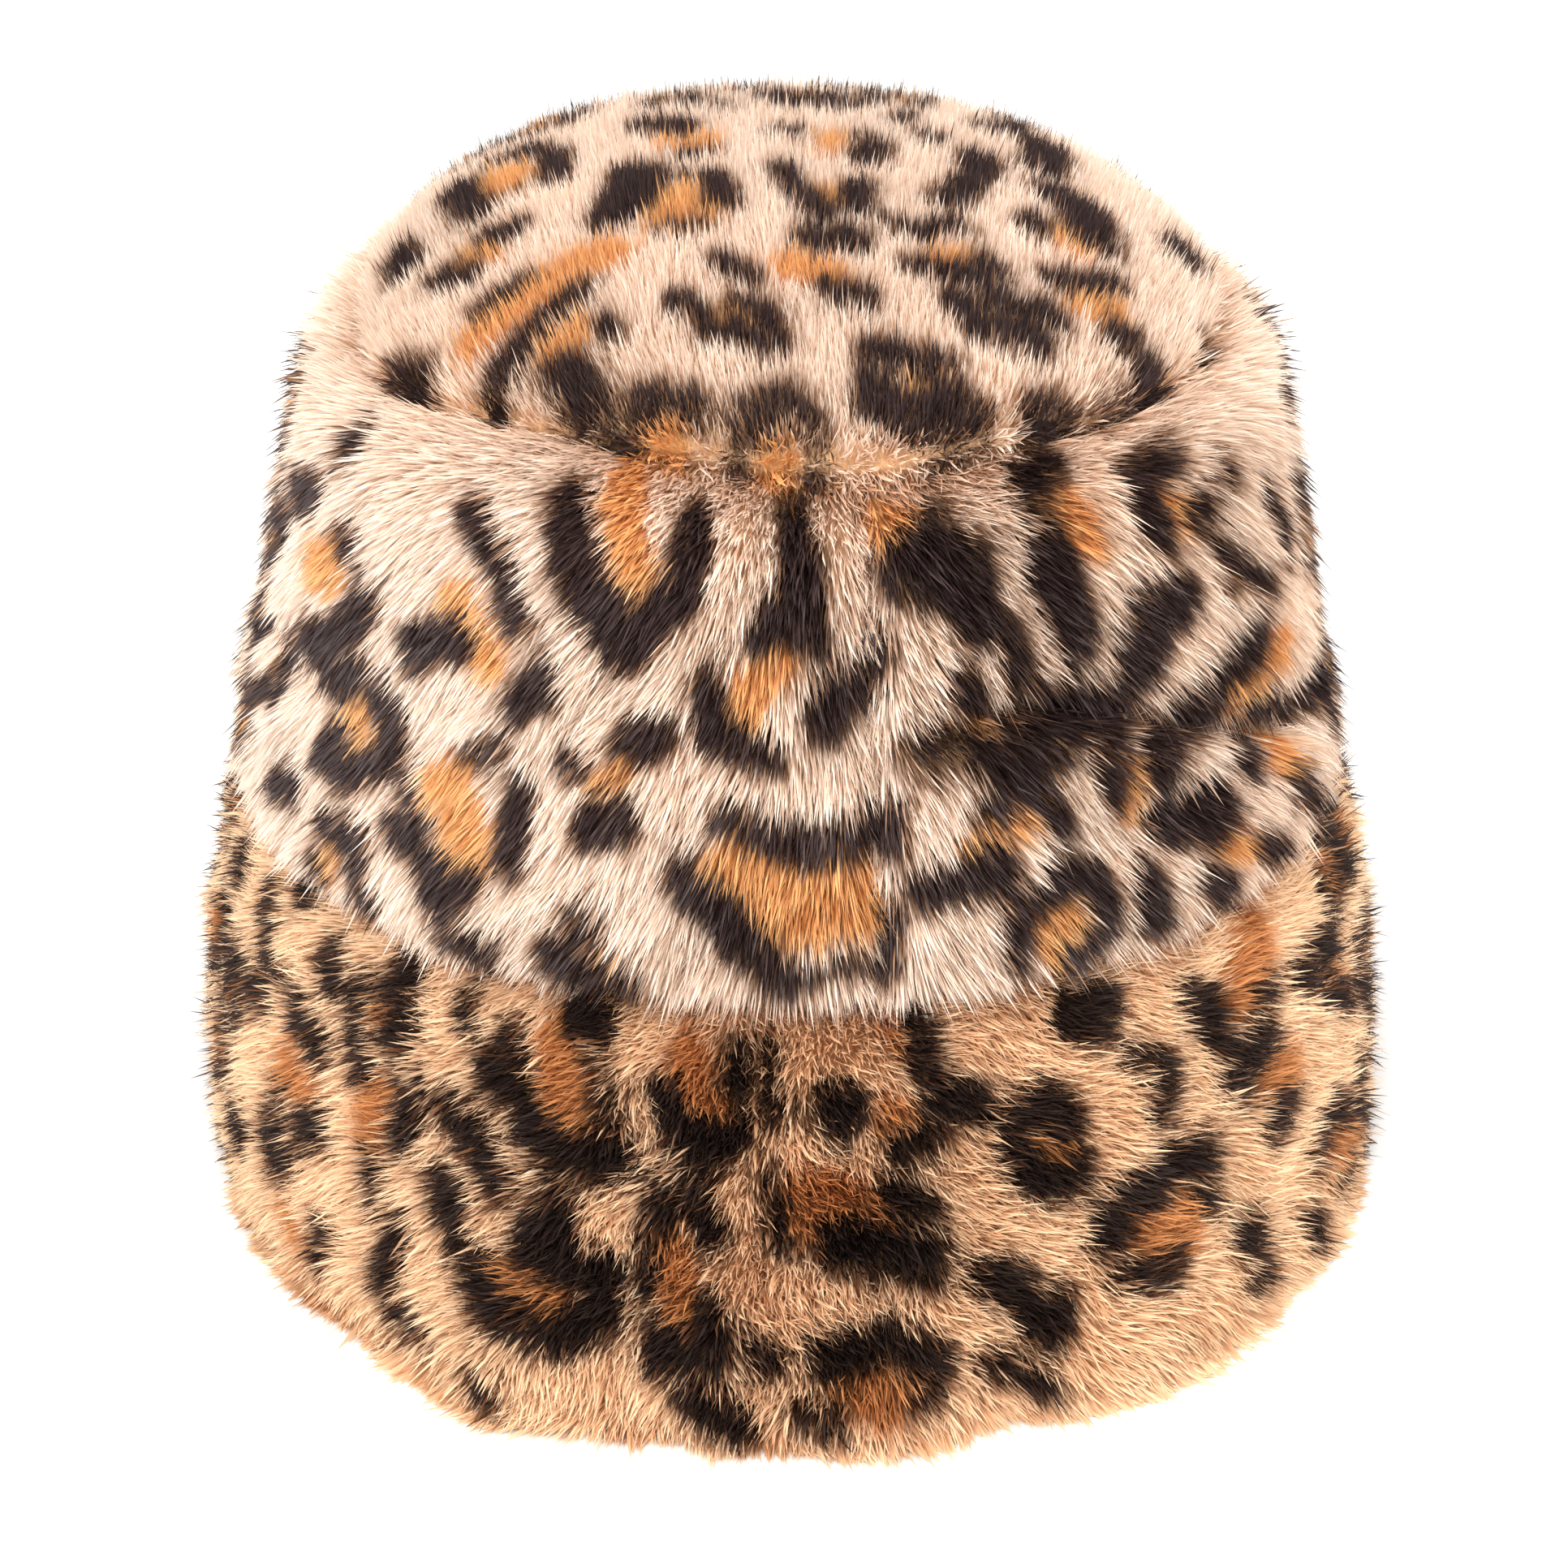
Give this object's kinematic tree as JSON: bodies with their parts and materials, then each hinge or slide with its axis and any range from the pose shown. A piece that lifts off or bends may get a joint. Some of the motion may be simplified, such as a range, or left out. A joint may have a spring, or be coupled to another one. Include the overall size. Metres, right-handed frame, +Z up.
{
  "type": "fur hat",
  "caption": "Soft bucket hat of long-pile spotted plush with an oval domed tip, a side band and a drooping brim.",
  "frame": {"origin": "middle of the hat's footprint, at the hem", "axes": "+Z up through the tip, -Y towards the front of the brim, +X to the hat's left as it is worn"},
  "size_m": [0.2088, 0.282, 0.159],
  "materials": {
    "tip_plush": "long glossy pile, cream with orange-brown rosettes ringed in dark brown",
    "band_plush": "long glossy pile combed down, cream with orange-brown rosettes ringed in dark brown",
    "brim_plush": "long ruffled pile, tan with orange-brown rosettes ringed in near black"
  },
  "bodies": {
    "root": {"crown_tip": "tip_plush", "side_band_left": "band_plush", "side_band_right": "band_plush", "brim_left": "brim_plush", "brim_right": "brim_plush"}
  },
  "joints": []
}
